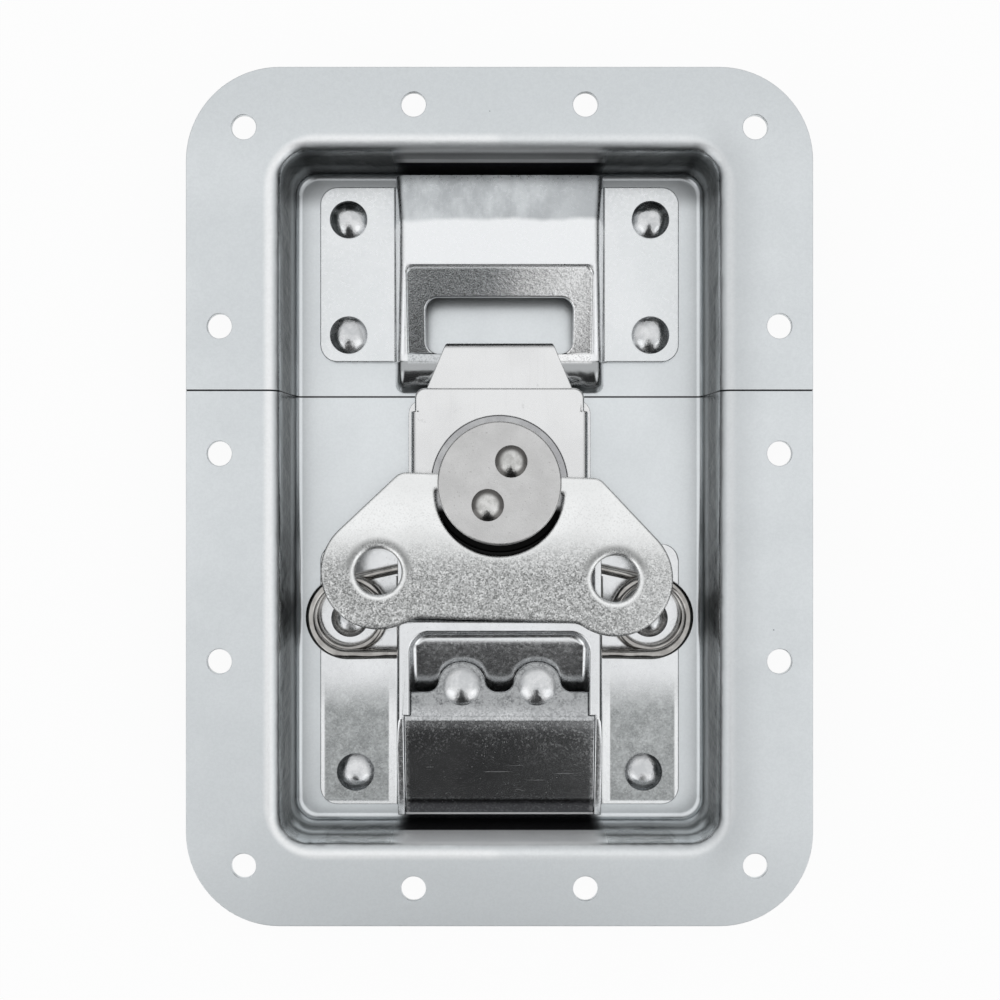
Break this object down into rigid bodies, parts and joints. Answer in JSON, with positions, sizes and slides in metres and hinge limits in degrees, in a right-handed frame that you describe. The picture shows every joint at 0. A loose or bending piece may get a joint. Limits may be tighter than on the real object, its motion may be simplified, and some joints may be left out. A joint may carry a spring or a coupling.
{
  "type": "recessed butterfly case latch",
  "caption": "Recessed pressed-steel dish latch in two halves: a butterfly handle turns a cam that slides a claw off the keeper, and the sprung mechanism lifts clear.",
  "frame": {"origin": "under the middle of the plate, level with the flat rivet tails on the back of the dish", "axes": "+Z out of the face of the latch, +Y to the keeper end on the lid half, +X across"},
  "size_m": [0.127, 0.174, 0.0172],
  "materials": {
    "dish_zinc": "satin bright zinc plate on pressed steel",
    "bracket_zinc": "bright zinc plate, mottled where the wings lie flat",
    "ramp_zinc": "polished bright zinc plate with fine scratches",
    "mechanism_zinc": "bright zinc plate",
    "handle_zinc": "tumbled zinc plate with a fine mottled grain",
    "cover_steel": "fine turned satin steel with a bright rim",
    "rivet_zinc": "shiny domed zinc-plated rivet",
    "spring_steel": "drawn spring steel wire"
  },
  "bodies": {
    "mount_plate": {"lid_dish": "dish_zinc", "base_dish": "dish_zinc", "keeper": "bracket_zinc", "latch_base": "bracket_zinc", "ramp_cover": "ramp_zinc", "spring_wire": "spring_steel", "keeper_rivet_rear_left": "rivet_zinc", "keeper_rivet_rear_right": "rivet_zinc", "keeper_rivet_front_left": "rivet_zinc", "keeper_rivet_front_right": "rivet_zinc", "base_rivet_front_left": "rivet_zinc", "base_rivet_front_right": "rivet_zinc", "base_rivet_rear_left": "rivet_zinc", "base_rivet_rear_right": "rivet_zinc", "ramp_rivet_left": "rivet_zinc", "ramp_rivet_right": "rivet_zinc"},
    "mechanism": {"swing_plate": "mechanism_zinc", "claw_housing": "mechanism_zinc"},
    "cam_body": {"cam": "mechanism_zinc", "crank_pin": "mechanism_zinc", "cover_disc": "cover_steel", "cover_rivet_upper": "rivet_zinc", "cover_rivet_lower": "rivet_zinc"},
    "claw_body": {"claw": "mechanism_zinc"},
    "handle_body": {"handle": "handle_zinc"}
  },
  "joints": [
    {"name": "mechanism_lift", "type": "hinge", "parent": "mount_plate", "child": "mechanism", "pos_m": [0, -0.0333, 0.006], "axis": [1, 0, 0], "range_deg": [0, 15]},
    {"name": "cam_turn", "type": "hinge", "parent": "mechanism", "child": "cam_body", "pos_m": [0, 0.0027, 0.0104], "axis": [0, 0, 1], "range_deg": [0, 180]},
    {"name": "claw_slide", "type": "slide", "parent": "mechanism", "child": "claw_body", "axis": [0, 1, 0], "range_m": [0, 0.008]},
    {"name": "handle_fold", "type": "hinge", "parent": "cam_body", "child": "handle_body", "pos_m": [0, 0.0027, 0.01252], "axis": [-0.9996, 0.0297, 0], "range_deg": [0, 90]}
  ],
  "couplings": [
    {"joint": "claw_slide", "follows": "cam_turn", "m_per_rad": 0.002546}
  ]
}
